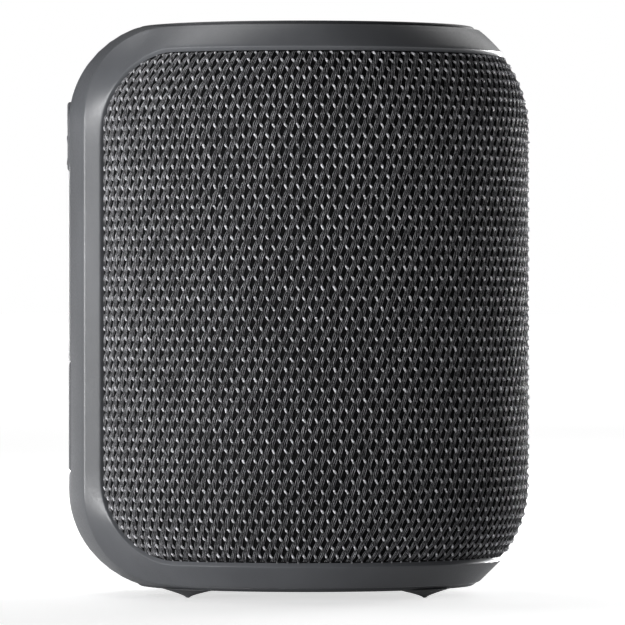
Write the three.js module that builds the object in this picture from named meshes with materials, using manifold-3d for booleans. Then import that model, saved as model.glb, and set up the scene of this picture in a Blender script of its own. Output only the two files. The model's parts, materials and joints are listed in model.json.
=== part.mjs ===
// Portable bluetooth speaker: a short round body in a grey C-shaped frame, with a knitted sleeve.
// Millimetres, +Z up. The raised spine with the buttons and sockets is the rear, at -X.
// The origin is under the middle of the object's box, on the surface that the feet stand on.
import * as THREE from 'three';
import { mergeVertices } from 'three/addons/utils/BufferGeometryUtils.js';
import Module from 'manifold-3d';

const wasm = await Module();
wasm.setup();

// ---- driving dimensions ----

const GAP = 0.3;                    // clearance between neighbouring pieces
const BODY_R = 43.5;                // sleeve radius
const CORNER_R = 23.3;              // round shoulder of the body
const CORNER_CENTRE_R = BODY_R - CORNER_R;
const Z_SHOULDER_TOP = 89.7;        // where the straight wall ends
const Z_SHOULDER_BOTTOM = 21.6;
const Z_MIDDLE = (Z_SHOULDER_TOP + Z_SHOULDER_BOTTOM) / 2;
const EDGE_ANGLE = 39.4;            // shoulder angle, in degrees, where the sleeve meets the frame
const CREASE_ANGLE = 53.7;          // shoulder angle where the frame turns flat

const SPINE_R = 46.05;              // outer radius of the raised spine
const SPINE_CORNER_R = 19.4;
const SPINE_HALF_WIDTH = 17.4;
const Z_SPINE_TOP = 91.1;
const Z_SPINE_BOTTOM = 20.4;
const CHANNEL_R = 42.9;             // hollow behind the spine's upper half

const SLEEVE = { out: 0.1, in: 1.2 };     // depths below the body surface
const GRILLE = { out: 1.5, in: 2.9 };
const FRAME_SKIN = 1.2;
const WINDOW_REAR_X = -39.4;        // rear edge of the opening that the sleeve shows through
const WINDOW_CORNER_R = 15.2;

const PANEL_R = 32.6;
const PANEL_BOTTOM_Z = 107;
const PANEL_TOP_Z = 109.7;
const RING_TOP_Z = 109;
const RING_INNER_R = 33.2;
const LEDGE_R = 30.5;

const BASE_BOTTOM_Z = 1.75;
const BASE_TOP_Z = 4.3;
const BASE_R = 33;
const BASE_HOLE_R = 23.5;
const BASE_SCREWS = { count: 4, circleR: 28.4, headR: 2.4, shankR: 1.2, top: 9.4 };
const FOOT = { x: 22.6, y: 20.6, halfLength: 6.4, halfWidth: 2.4, tip: 0.8 };

const CHASSIS = {
  r: 37.5, footR: 31.5, wall: 2, bottom: 8, knee: 17, top: 94, rearX: -33.6, frontX: 26.5, lidTop: 97,
};
const DRIVER = { z: Z_MIDDLE, flangeR: 26, holeR: 22.8, coneR: 18.6, magnetR: 14.5 };
const RADIATOR = { outerR: 25, holeR: 21.4, discR: 15.8, bottom: 4.6, top: 7.7 };
const BATTERY = { r: 9.2, length: 65, x: -18, bottom: 19 };
const BOARD = { x: -36.4, thickness: 1.2, halfWidth: 13.5, bottom: 22, top: 94 };

const COVER = { halfWidth: 8, bottom: 23.7, top: 44.9, innerR: 44 };
const PAD = { halfWidth: 3.7, bottom: 81.8, top: 95.2, innerR: 44.6, outerR: 46.32 };
const USB = { z: 38, halfLength: 4.5, halfWidth: 1.65, frontX: -43.3 };
const AUX = { z: 29, noseR: 2.9, boreR: 1.8, frontX: -43.3 };
const SPINE_BUTTONS = {
  power: { z: 92.1, r: 2, face: 46.35 },
  pair: { z: 85.8, r: 2.9, face: 46.5 },
};
const BUTTON_STEM_X = -38;          // how far in the bores for the spine buttons go
const TOP_KEYS = {
  volume_down: { y: -16.5, r: 4.8 },
  play: { y: 0, r: 6.2 },
  volume_up: { y: 16.5, r: 4.8 },
};
const KEY_FLANGE = 0.8;
const STATUS_LENS = { x: -26, r: 0.9 };
const MICROPHONE = { x: 26, r: 0.6 };
const KEY_BOARD = { r: 25, bottom: 101, top: 102 };
const BOARD_SCREWS = { count: 3, circleR: 21, headR: 2, shankR: 0.9 };

const BODY_SEGMENTS = 36;
const ROUND_SEGMENTS = 24;
const SMALL_SEGMENTS = 12;
const HOLE_SEGMENTS = 8;
const ARC_STEPS = 3;

// a height and a half width beyond every piece, for cuts that go right through
const ABOVE_ALL = 120;
const BEYOND_ALL = 60;

// the frame, spine and pad reach further back than the sleeve reaches forward
const REAR_REACH = SPINE_BUTTONS.pair.face;
const CENTRE_SHIFT = (REAR_REACH - BODY_R + SLEEVE.out) / 2;

// ---- materials ----

const finish = (color, roughness, metalness = 0) => ({ color, roughness, metalness });
const FRAME_GREY = finish(0x4b4d52, 0.42);
const PANEL_GREY = finish(0x2c2d30, 0.5);
const KNIT = finish(0x2a2b2e, 0.95);
const BLACK_PLASTIC = finish(0x161719, 0.6);
const RUBBER = finish(0x1b1b1d, 0.8);
const STEEL = finish(0xa9abb0, 0.35, 1);
const BOARD_GREEN = finish(0x14452c, 0.5);
const CELL_WRAP = finish(0x2c5f8f, 0.4);
const CLEAR = finish(0xe6edf2, 0.15);
const PAPER_BLACK = finish(0x202124, 0.85);

// ---- geometry helpers ----

const radians = THREE.MathUtils.degToRad;

/** Points of an arc in the (radius, height) plane, from one angle to another in degrees. */
function arc(centreR, centreZ, radius, from, to, steps = ARC_STEPS) {
  return Array.from({ length: steps + 1 }, (_, i) => {
    const angle = radians(from + (to - from) * i / steps);
    return [centreR + radius * Math.cos(angle), centreZ + radius * Math.sin(angle)];
  });
}

/** The body's outline from its top to its bottom, a depth below the surface. */
function bodyOutline(depth, angle) {
  const radius = CORNER_R - depth;
  return [
    ...arc(CORNER_CENTRE_R, Z_SHOULDER_TOP, radius, angle, 0),
    ...arc(CORNER_CENTRE_R, Z_SHOULDER_BOTTOM, radius, 0, -angle),
  ];
}

/** Keeps only positions, merged, and drops triangles that have no area. */
function bare(geometry) {
  const source = geometry.clone();
  source.deleteAttribute('normal');
  source.deleteAttribute('uv');
  const merged = mergeVertices(source, 1e-4);
  const index = merged.index.array;
  const kept = [];
  for (let i = 0; i < index.length; i += 3) {
    const [a, b, c] = [index[i], index[i + 1], index[i + 2]];
    if (a !== b && b !== c && c !== a) kept.push(a, b, c);
  }
  merged.setIndex(kept);
  return merged;
}

/** A closed geometry as a solid, with its faces turned outwards. */
function solid(geometry) {
  const { index, attributes } = bare(geometry);
  const vertProperties = new Float32Array(attributes.position.array);
  const triVerts = new Uint32Array(index.array);
  const point = (i) => new THREE.Vector3().fromArray(vertProperties, 3 * i);
  let volume = 0;
  for (let i = 0; i < triVerts.length; i += 3) {
    volume += point(triVerts[i]).dot(point(triVerts[i + 1]).cross(point(triVerts[i + 2])));
  }
  if (volume < 0) triVerts.reverse();
  return new wasm.Manifold(new wasm.Mesh({ numProp: 3, vertProperties, triVerts }));
}

/** A solid as a three.js geometry with flat-shaded normals. */
function toGeometry(body) {
  const mesh = body.getMesh();
  const geometry = new THREE.BufferGeometry();
  geometry.setAttribute('position', new THREE.BufferAttribute(new Float32Array(mesh.vertProperties), 3));
  geometry.setIndex(Array.from(mesh.triVerts));
  geometry.computeVertexNormals();
  return geometry;
}

/** A closed outline of [radius, height] points turned about Z. */
function turned(points, segments = BODY_SEGMENTS) {
  const outline = points.map(([r, z]) => new THREE.Vector2(r, z));
  if (points[0][0] !== 0) outline.push(outline[0].clone());
  return solid(new THREE.LatheGeometry(outline, segments).rotateX(Math.PI / 2));
}

/** A ring or, with no inner radius, a disc. */
function ring(outerR, innerR, bottom, top, segments = ROUND_SEGMENTS) {
  return turned([[innerR, bottom], [outerR, bottom], [outerR, top], [innerR, top]], segments);
}

function box(x0, x1, y0, y1, z0, z1) {
  const geometry = new THREE.BoxGeometry(x1 - x0, y1 - y0, z1 - z0);
  return solid(geometry.translate((x0 + x1) / 2, (y0 + y1) / 2, (z0 + z1) / 2));
}

/** An upright round bar. */
function bar(x, y, r, bottom, top, segments = SMALL_SEGMENTS) {
  const geometry = new THREE.CylinderGeometry(r, r, top - bottom, segments).rotateX(Math.PI / 2);
  return solid(geometry.translate(x, y, (bottom + top) / 2));
}

/** A round bar along X. */
function cross(x0, x1, y, z, r, segments = SMALL_SEGMENTS) {
  const geometry = new THREE.CylinderGeometry(r, r, x1 - x0, segments).rotateZ(Math.PI / 2);
  return solid(geometry.translate((x0 + x1) / 2, y, z));
}

/** An outline of [distance along X, radius] points turned about a line along X at the driver's height. */
function turnedAboutX(points, segments = ROUND_SEGMENTS) {
  const outline = points.map(([x, r]) => new THREE.Vector2(r, x));
  if (points[0][1] !== 0) outline.push(outline[0].clone());
  const geometry = new THREE.LatheGeometry(outline, segments).rotateZ(-Math.PI / 2);
  return solid(geometry.translate(0, 0, DRIVER.z));
}

/** Everything inside the opening of the frame, which has round corners at the rear. */
function windowPrism(shrink) {
  const top = Z_SHOULDER_TOP + CORNER_R * Math.sin(radians(EDGE_ANGLE)) - shrink;
  const bottom = Z_SHOULDER_BOTTOM - CORNER_R * Math.sin(radians(EDGE_ANGLE)) + shrink;
  const rear = WINDOW_REAR_X + shrink;
  const corner = WINDOW_CORNER_R - shrink;
  const front = 2 * BODY_R;
  const shape = new THREE.Shape();
  shape.moveTo(front, bottom);
  shape.lineTo(front, top);
  shape.lineTo(rear + corner, top);
  shape.absarc(rear + corner, top - corner, corner, Math.PI / 2, Math.PI, false);
  shape.lineTo(rear, bottom + corner);
  shape.absarc(rear + corner, bottom + corner, corner, Math.PI, 1.5 * Math.PI, false);
  const depth = 4 * BODY_R;
  const geometry = new THREE.ExtrudeGeometry(shape, { depth, bevelEnabled: false, curveSegments: 6 });
  return solid(geometry.translate(0, 0, -depth / 2).rotateX(Math.PI / 2));
}

/** An upright capsule outline pushed through the spine along X. */
function capsule(halfWidth, bottom, top) {
  const shape = new THREE.Shape();
  shape.absarc(0, top - halfWidth, halfWidth, 0, Math.PI, false);
  shape.absarc(0, bottom + halfWidth, halfWidth, Math.PI, 2 * Math.PI, false);
  shape.closePath();
  const depth = 14;
  const geometry = new THREE.ExtrudeGeometry(shape, { depth, bevelEnabled: false, curveSegments: 8 });
  geometry.rotateY(Math.PI / 2).rotateX(Math.PI / 2);
  return solid(geometry.translate(-SPINE_R - 4, 0, 0));
}

/** The part of a turned ring that lies in the spine, between two heights. */
function spineSector(outerR, innerR, halfWidth, bottom, top) {
  const slab = box(-BEYOND_ALL, 0, -halfWidth, halfWidth, bottom, top);
  return ring(outerR, innerR, bottom, top, BODY_SEGMENTS).intersect(slab);
}

/** A shell of revolution between two depths under the body surface. */
function bodyShell(depths, angle) {
  return turned([...bodyOutline(depths.out, angle), ...bodyOutline(depths.in, angle).reverse()]);
}

/** Evenly spaced [x, y] places on a circle, the first on +X. */
function around(count, radius) {
  return Array.from({ length: count }, (_, i) => {
    const angle = radians(360 * i / count);
    return [radius * Math.cos(angle), radius * Math.sin(angle)];
  });
}

// ---- the assembly ----

const speaker = new THREE.Group();
speaker.position.x = CENTRE_SHIFT;

function add(name, body, look) {
  const mesh = new THREE.Mesh(toGeometry(body), new THREE.MeshStandardMaterial(look));
  mesh.name = name;
  speaker.add(mesh);
}

/** Shoulder ring of the frame: its outer face is the body's round corner, its inner edge a ledge. */
function shoulderRing(z, up) {
  const at = ([r, dz]) => [r, z + up * dz];
  const outer = arc(CORNER_CENTRE_R, 0, CORNER_R, EDGE_ANGLE, CREASE_ANGLE, 3);
  const [skirtR, skirtZ] = arc(CORNER_CENTRE_R, 0, CORNER_R - GRILLE.in, EDGE_ANGLE, EDGE_ANGLE, 1)[0];
  const rim = RING_TOP_Z - Z_SHOULDER_TOP;
  return turned([
    ...outer,
    [outer.at(-1)[0] - 0.2, rim],
    [RING_INNER_R, rim],
    [RING_INNER_R, rim - 2.1],
    [LEDGE_R, rim - 2.1],
    [LEDGE_R, rim - 3.9],
    [skirtR, skirtZ],
  ].map(at));
}

/** The raised rib that the spine's back face belongs to. */
function spineRib() {
  const centreR = SPINE_R - SPINE_CORNER_R;
  const end = THREE.MathUtils.radToDeg(Math.acos((RING_INNER_R - centreR) / SPINE_CORNER_R));
  const outline = [
    ...arc(centreR, Z_SPINE_TOP, SPINE_CORNER_R, end, 0, 5),
    ...arc(centreR, Z_SPINE_BOTTOM, SPINE_CORNER_R, 0, -end, 5),
    ...bodyOutline(FRAME_SKIN, CREASE_ANGLE - 4).reverse(),
  ];
  return turned(outline).intersect(box(-BEYOND_ALL, 0, -SPINE_HALF_WIDTH, SPINE_HALF_WIDTH, 0, ABOVE_ALL));
}

function addFrame() {
  const skin = bodyShell({ out: 0, in: FRAME_SKIN }, EDGE_ANGLE + 2);
  const coverPocket = spineSector(SPINE_R + 6, COVER.innerR - GAP, COVER.halfWidth + GAP,
    COVER.bottom - GAP, COVER.top + GAP);
  const padPocket = capsule(PAD.halfWidth + GAP, PAD.bottom - GAP, PAD.top + GAP)
    .intersect(spineSector(SPINE_R + 6, PAD.innerR - GAP, PAD.halfWidth + 2, PAD.bottom - 2, PAD.top + 2));
  const channel = spineSector(CHANNEL_R, CHANNEL_R - 6, 14.5, 50, 98);
  let frame = shoulderRing(Z_SHOULDER_TOP, 1)
    .add(shoulderRing(Z_SHOULDER_BOTTOM, -1))
    .add(skin.add(spineRib()).subtract(windowPrism(0)))
    .subtract(coverPocket)
    .subtract(padPocket)
    .subtract(channel);
  for (const { z, r } of Object.values(SPINE_BUTTONS)) {
    frame = frame.subtract(cross(-BEYOND_ALL, BUTTON_STEM_X, 0, z, r + GAP));
  }
  const usbSlot = box(-BEYOND_ALL, BUTTON_STEM_X, -USB.halfWidth - GAP, USB.halfWidth + GAP,
    USB.z - USB.halfLength - GAP, USB.z + USB.halfLength + GAP);
  frame = frame.subtract(usbSlot).subtract(cross(-BEYOND_ALL, BUTTON_STEM_X, 0, AUX.z, AUX.noseR + GAP));
  add('outer_frame', frame, FRAME_GREY);
}

function addSleeveAndGrille() {
  const inside = EDGE_ANGLE - 0.8;
  add('fabric_sleeve', bodyShell(SLEEVE, inside).intersect(windowPrism(GAP)), KNIT);

  let grille = bodyShell(GRILLE, inside).subtract(box(-BEYOND_ALL, 0, -15.5, 15.5, 16, 98));
  const slots = 16;
  const firstAngle = 36;
  const [slotBottom, slotTop] = [Z_SHOULDER_BOTTOM + 3, Z_SHOULDER_TOP - 3];
  for (let i = 0; i < slots; i += 1) {
    const angle = radians(-180 + firstAngle + (360 - 2 * firstAngle) * (i + 0.5) / slots);
    const slot = new THREE.BoxGeometry(12, 7, slotTop - slotBottom);
    slot.translate(BODY_R, 0, (slotBottom + slotTop) / 2).rotateZ(angle);
    grille = grille.subtract(solid(slot));
  }
  add('grille_shell', grille, BLACK_PLASTIC);
}

function addControlPanel() {
  const edge = 0.7;
  let panel = turned([
    [0, PANEL_BOTTOM_Z],
    [PANEL_R, PANEL_BOTTOM_Z],
    ...arc(PANEL_R - edge, PANEL_TOP_Z - edge, edge, 0, 90, 2),
    [0, PANEL_TOP_Z],
  ]);
  const boardScrews = around(BOARD_SCREWS.count, BOARD_SCREWS.circleR);
  const { bottom, top } = KEY_BOARD;
  for (const [x, y] of boardScrews) panel = panel.add(bar(x, y, 2.4, top + 0.1, PANEL_BOTTOM_Z + 1));
  for (const { y, r } of Object.values(TOP_KEYS)) {
    panel = panel.subtract(bar(0, y, r + GAP, bottom, ABOVE_ALL, ROUND_SEGMENTS));
  }
  panel = panel
    .subtract(bar(STATUS_LENS.x, 0, STATUS_LENS.r + GAP, bottom, ABOVE_ALL))
    .subtract(bar(MICROPHONE.x, 0, MICROPHONE.r, bottom, ABOVE_ALL, HOLE_SEGMENTS));
  for (const [x, y] of boardScrews) {
    panel = panel.subtract(bar(x, y, BOARD_SCREWS.shankR + GAP, bottom, top + 4, HOLE_SEGMENTS));
  }
  add('control_panel', panel, PANEL_GREY);
  add('status_lens', bar(STATUS_LENS.x, 0, STATUS_LENS.r, PANEL_BOTTOM_Z - 1, PANEL_TOP_Z - 0.1), CLEAR);

  for (const [name, { y, r }] of Object.entries(TOP_KEYS)) {
    const key = bar(0, y, r, PANEL_BOTTOM_Z - 1.2, PANEL_TOP_Z - 0.05, ROUND_SEGMENTS)
      .add(bar(0, y, r + KEY_FLANGE, PANEL_BOTTOM_Z - 1.4, PANEL_BOTTOM_Z - GAP, ROUND_SEGMENTS))
      .add(bar(0, y, 1.4, PANEL_BOTTOM_Z - 1.8, PANEL_BOTTOM_Z - 1));
    add(`${name}_key`, key, PANEL_GREY);
    const dome = bar(0, y, 2.6, top + 0.1, top + 1.6).add(bar(0, y, 1.2, top + 1.5, top + 2.6));
    add(`${name}_switch`, dome, STEEL);
  }

  let board = bar(0, 0, KEY_BOARD.r, bottom, top, ROUND_SEGMENTS);
  for (const [x, y] of boardScrews) {
    board = board.subtract(bar(x, y, BOARD_SCREWS.shankR + 0.4, bottom - 1, top + 1, HOLE_SEGMENTS));
  }
  add('key_board', board, BOARD_GREEN);
  boardScrews.forEach(([x, y], i) => {
    const screw = bar(x, y, BOARD_SCREWS.headR, bottom - 1.3, bottom - 0.1)
      .add(bar(x, y, BOARD_SCREWS.shankR, bottom - 0.2, top + 3.5, HOLE_SEGMENTS));
    add(`board_screw_${i + 1}`, screw, STEEL);
  });
}

function addBase() {
  const lip = 0.5;
  let plate = turned([
    [BASE_HOLE_R, BASE_BOTTOM_Z],
    [BASE_R - lip, BASE_BOTTOM_Z],
    [BASE_R, BASE_BOTTOM_Z + lip],
    [BASE_R, BASE_TOP_Z],
    [BASE_HOLE_R, BASE_TOP_Z],
  ]);
  const { count, circleR, headR, shankR, top: screwTop } = BASE_SCREWS;
  const headTop = 2.9;
  const screws = around(count, circleR);
  for (const [x, y] of screws) {
    plate = plate.subtract(bar(x, y, shankR + GAP, 0, 6)).subtract(bar(x, y, headR + GAP, 0, headTop + 0.1));
  }
  add('base_plate', plate, PANEL_GREY);
  screws.forEach(([x, y], i) => {
    const screw = bar(x, y, headR, BASE_BOTTOM_Z + 0.2, headTop)
      .add(bar(x, y, shankR, headTop - 0.1, screwTop, HOLE_SEGMENTS));
    add(`base_screw_${i + 1}`, screw, STEEL);
  });

  // the sides of each foot curve in from a wide root to a narrow tip
  const top = BASE_BOTTOM_Z - 0.05;
  const root = FOOT.halfLength;
  const side = [[root, top], [root, top - 0.1], [root * 0.7, top - 0.42], [root * 0.42, top - 0.9]];
  const corners = [[1, 1], [-1, 1], [-1, -1], [1, -1]];
  corners.forEach(([sx, sy], i) => {
    const outline = [[0, top], ...side, [FOOT.tip, 0], [0, 0]].map(([r, z]) => new THREE.Vector2(r, z));
    const geometry = new THREE.LatheGeometry(outline, SMALL_SEGMENTS).rotateX(Math.PI / 2);
    geometry.scale(FOOT.halfWidth / FOOT.halfLength, 1, 1);
    geometry.rotateZ(Math.atan2(sy * FOOT.y, sx * FOOT.x)).translate(sx * FOOT.x, sy * FOOT.y, 0);
    add(`foot_${i + 1}`, solid(geometry), RUBBER);
  });
}

function addRadiator() {
  const { outerR, holeR, discR, bottom, top } = RADIATOR;
  add('radiator_frame', ring(outerR, holeR, bottom, top), BLACK_PLASTIC);
  const mid = (holeR + discR) / 2;
  const roll = (holeR - discR) / 2 - GAP - 0.6;
  const z = bottom + 1.2;
  add('radiator_surround', turned([
    [holeR - GAP, z],
    [holeR - GAP, z + 0.6],
    ...arc(mid, z + 0.6, roll, 0, 180, 3),
    [discR + GAP, z + 0.6],
    [discR + GAP, z],
    ...arc(mid, z, roll - 0.4, 180, 0, 3),
  ], ROUND_SEGMENTS), RUBBER);
  const disc = turned([
    [0, z],
    [discR, z],
    [discR, z + 1.2],
    [8, z + 1.2],
    [8, z + 3],
    [0, z + 3],
  ], ROUND_SEGMENTS);
  add('radiator_diaphragm', disc, STEEL);
}

function addChassis() {
  const { r, footR, wall, bottom, knee, top, rearX, frontX, lidTop } = CHASSIS;
  const cup = (inset, cupTop) => turned([
    [0, bottom + inset],
    [footR - inset / 2, bottom + inset],
    [r - inset, knee],
    [r - inset, cupTop],
    [0, cupTop],
  ]).intersect(box(rearX + inset, frontX - inset, -BEYOND_ALL, BEYOND_ALL, 0, ABOVE_ALL));
  let chassis = cup(0, top).subtract(cup(wall, top + 5));
  for (const [x, y] of around(BASE_SCREWS.count, BASE_SCREWS.circleR)) {
    chassis = chassis.subtract(bar(x, y, BASE_SCREWS.shankR + GAP, 0, bottom + wall + 1, HOLE_SEGMENTS));
  }
  chassis = chassis
    .subtract(bar(0, 0, RADIATOR.discR + 5, 0, 14, ROUND_SEGMENTS))
    .subtract(cross(frontX - 5, frontX + 5, 0, DRIVER.z, DRIVER.holeR, ROUND_SEGMENTS));
  add('chassis', chassis, BLACK_PLASTIC);

  const flats = box(rearX, frontX, -BEYOND_ALL, BEYOND_ALL, 0, ABOVE_ALL);
  const seal = ring(r - 0.2, r - wall + 0.2, top + 0.05, top + 0.8, BODY_SEGMENTS)
    .intersect(flats)
    .add(box(rearX, rearX + wall, -16, 16, top + 0.05, top + 0.8))
    .add(box(frontX - wall, frontX, -26, 26, top + 0.05, top + 0.8));
  add('chassis_seal', seal, RUBBER);
  const lid = bar(0, 0, r, top + 0.9, lidTop, BODY_SEGMENTS).intersect(flats);
  const wireHole = bar(-22, 0, 2.5, 90, 100);
  add('chassis_lid', lid.subtract(wireHole), BLACK_PLASTIC);
}

function addDriver() {
  const face = CHASSIS.frontX + 0.2;
  add('driver_basket', turnedAboutX([
    [face, DRIVER.flangeR - 3.6],
    [face, DRIVER.flangeR],
    [face + 1.4, DRIVER.flangeR],
    [face + 1.4, DRIVER.coneR + 5],
    [face - 1, DRIVER.coneR + 3.6],
    [face - 12, DRIVER.magnetR + 1],
    [face - 14, DRIVER.magnetR - 6],
    [face - 15.5, DRIVER.magnetR - 6],
    [face - 13.2, DRIVER.magnetR + 3],
  ]), STEEL);
  add('driver_magnet', turnedAboutX([
    [face - 15.8, 0],
    [face - 15.8, DRIVER.magnetR],
    [face - 24, DRIVER.magnetR],
    [face - 24, 0],
  ]), BLACK_PLASTIC);
  const roll = arc(0, 0, 1.9, 0, 180, 3).map(([u, v]) => [face + 1.6 + v, DRIVER.coneR + 2.2 + u]);
  const under = arc(0, 0, 1.4, 180, 0, 3).map(([u, v]) => [face + 1.6 + v, DRIVER.coneR + 2.2 + u]);
  add('driver_surround', turnedAboutX([...roll, ...under]), RUBBER);
  add('driver_cone', turnedAboutX([
    [face - 3.4, 0],
    [face - 4.4, 5],
    [face - 6, 7.4],
    [face + 0.6, DRIVER.coneR - 0.4],
    [face + 1.2, DRIVER.coneR - 0.4],
    [face + 1.2, DRIVER.coneR],
    [face + 0.2, DRIVER.coneR],
    [face - 7.4, 7.4],
    [face - 12.6, 7.4],
    [face - 12.6, 6.8],
    [face - 6.4, 6.8],
    [face - 5, 0],
  ]), PAPER_BLACK);
}

function addBattery() {
  const { r, length, x, bottom } = BATTERY;
  const cell = bar(x, 0, r, bottom, bottom + length, 24)
    .add(bar(x, 0, 2.8, bottom + length - 0.5, bottom + length + 0.8));
  add('battery_cell', cell, CELL_WRAP);
  const rear = CHASSIS.rearX + CHASSIS.wall + 0.1;
  const cradle = box(rear, x + 2, -r - 2, r + 2, bottom - 3, bottom + length + 4)
    .subtract(bar(x, 0, r + GAP, bottom - 0.6, bottom + length + 1.4, 24));
  add('battery_cradle', cradle, BLACK_PLASTIC);
}

function addMainBoard() {
  const { x, thickness, halfWidth, bottom, top } = BOARD;
  add('main_board', box(x, x + thickness, -halfWidth, halfWidth, bottom, top), BOARD_GREEN);
  const raised = x - 0.05;
  add('bluetooth_module', box(raised - 2.2, raised, -8, 8, 56, 74), STEEL);
  add('battery_connector', box(raised - 4, raised, 6.4, 11.4, 46, 53), CLEAR);

  const usbShell = (rear, front, wall) => box(rear, front, -USB.halfWidth + wall, USB.halfWidth - wall,
    USB.z - USB.halfLength + wall, USB.z + USB.halfLength - wall);
  const usb = usbShell(USB.frontX, raised, 0)
    .subtract(usbShell(USB.frontX - 1, USB.frontX + 5, 0.35))
    .add(box(USB.frontX + 1, USB.frontX + 5.2, -0.35, 0.35, USB.z - 3.4, USB.z + 3.4));
  add('usb_c_socket', usb, STEEL);
  const aux = cross(AUX.frontX, -39, 0, AUX.z, AUX.noseR)
    .add(box(-40.5, raised, -3.3, 3.3, AUX.z - 3.5, AUX.z + 3.5))
    .subtract(cross(AUX.frontX - 1, raised - 1, 0, AUX.z, AUX.boreR));
  add('aux_socket', aux, BLACK_PLASTIC);

  for (const [name, { z }] of Object.entries(SPINE_BUTTONS)) {
    const body = box(-40.3, raised, -2.3, 2.3, z - 2.3, z + 2.3).add(cross(-41.2, -40, 0, z, 1.1));
    add(`${name}_switch`, body, STEEL);
  }
}

function addSpinePieces() {
  const notch = new THREE.CylinderGeometry(2.6, 2.6, 3, 12).rotateZ(Math.PI / 2);
  notch.translate(-SPINE_R - 1.1, 0, COVER.top + 1.4);
  const cover = spineSector(SPINE_R, COVER.innerR, COVER.halfWidth, COVER.bottom, COVER.top)
    .subtract(solid(notch));
  add('port_cover', cover, RUBBER);

  let pad = spineSector(PAD.outerR, PAD.innerR, PAD.halfWidth + 2, PAD.bottom - 2, PAD.top + 2)
    .intersect(capsule(PAD.halfWidth, PAD.bottom, PAD.top));
  for (const { z, r } of Object.values(SPINE_BUTTONS)) {
    pad = pad.subtract(cross(-BEYOND_ALL, BUTTON_STEM_X, 0, z, r + GAP));
  }
  add('button_pad', pad, RUBBER);

  for (const [name, { z, r, face }] of Object.entries(SPINE_BUTTONS)) {
    let button = cross(-face, -41.8, 0, z, r).add(cross(-42.4, -41.7, 0, z, r + 0.4));
    if (name === 'pair') button = button.subtract(cross(-face - 1, -face + 0.35, 0, z, r - 0.6));
    add(`${name}_button`, button, RUBBER);
  }
}

addFrame();
addSleeveAndGrille();
addControlPanel();
addBase();
addRadiator();
addChassis();
addDriver();
addBattery();
addMainBoard();
addSpinePieces();

export default speaker;
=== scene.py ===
import json
import math

import bmesh
import bpy
import numpy as np
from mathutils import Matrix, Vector


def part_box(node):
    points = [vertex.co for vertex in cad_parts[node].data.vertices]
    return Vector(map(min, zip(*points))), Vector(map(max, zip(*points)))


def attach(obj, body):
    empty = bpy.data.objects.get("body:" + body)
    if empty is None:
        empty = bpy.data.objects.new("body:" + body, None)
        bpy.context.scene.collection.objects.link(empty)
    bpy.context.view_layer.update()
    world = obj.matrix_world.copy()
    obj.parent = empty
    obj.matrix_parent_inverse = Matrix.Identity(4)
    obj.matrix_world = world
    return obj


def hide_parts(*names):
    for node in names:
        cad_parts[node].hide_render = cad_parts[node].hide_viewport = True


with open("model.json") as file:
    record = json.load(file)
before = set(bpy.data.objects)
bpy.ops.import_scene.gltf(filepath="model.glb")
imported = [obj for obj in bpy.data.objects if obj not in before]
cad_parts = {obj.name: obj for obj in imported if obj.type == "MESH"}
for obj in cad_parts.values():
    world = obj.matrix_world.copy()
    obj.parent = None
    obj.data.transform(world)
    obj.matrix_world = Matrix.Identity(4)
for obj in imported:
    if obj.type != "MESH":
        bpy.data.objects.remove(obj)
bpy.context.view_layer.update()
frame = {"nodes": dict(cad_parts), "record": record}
scene = bpy.context.scene

# Lengths are in millimetres up to the last step of each piece, which is in metres.
MM = 0.001


def box_mm(node):
    """Lowest and highest corner of a CAD node, in millimetres."""
    low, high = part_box(node)
    return np.array(low) / MM, np.array(high) / MM


# ---- driving dimensions, read from the frame where it holds them ----

_, SLEEVE_HIGH = box_mm("fabric_sleeve")
PANEL_LOW, PANEL_HIGH = box_mm("control_panel")
BASE_LOW, BASE_HIGH = box_mm("base_plate")
COVER_LOW, COVER_HIGH = box_mm("port_cover")
PAD_LOW, PAD_HIGH = box_mm("button_pad")

AXIS_X = (PANEL_LOW[0] + PANEL_HIGH[0]) / 2      # the body's upright axis
BODY_R = SLEEVE_HIGH[1] + 0.1
PANEL_R = PANEL_HIGH[1]
PANEL_TOP = PANEL_HIGH[2]
BASE_R = BASE_HIGH[1]
BASE_BOTTOM = BASE_LOW[2] - 0.15
SPINE_R = AXIS_X - COVER_LOW[0]

# an upright outline is (radius, corner radius, half of its straight wall, middle height)
BODY = (BODY_R, 23.3, 34.05, 55.65)
RIB = (SPINE_R, 19.4, 35.35, 55.75)

# the window in the frame, in lengths round the body (u, from the rear)
# and along its upright outline (s, from the middle)
WINDOW_U = BODY_R * math.radians(24.9)
CREASE_U = BODY_R * math.radians(22.4)
WINDOW_CORNER = (17.5, 20.0)        # half axes of the window's rounded corners
CREASE_CORNER = 10.0
LIP_DROP = 0.4                      # how far the window's inner wall turns upright along the rings
FRONT_U = math.pi * BODY_R
SIDE_GAP, RING_GAP = 0.3, 0.48      # from the window's edge to the knit, at the sides and at the rings
FRAME_WALL = 0.8
LIP_DEPTH = 2.6                     # how deep the walls at the window and at the rim go
CREASE_ROUND = 0.35                 # how far from the crease its rounding starts
RING_CROWN = 0.18                   # how far the top ring's flank bulges

# each end of the frame: edge of the window, crease and rim, the last two as (radius, height)
TOP_END = {"edge": BODY[2] + BODY[1] * math.radians(40.1), "crease": (34.0, 108.7), "rim": (33.2, 109.0)}
BOTTOM_END = {"edge": BODY[2] + BODY[1] * math.radians(40.5), "crease": (33.7, 2.4), "rim": (33.2, 2.3)}
CREASE_S = RIB[2] + RIB[1] * math.radians(65.1)
RIM_S = RIB[2] + RIB[1] * math.radians(70.3)


# ---- scene helpers ----

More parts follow.
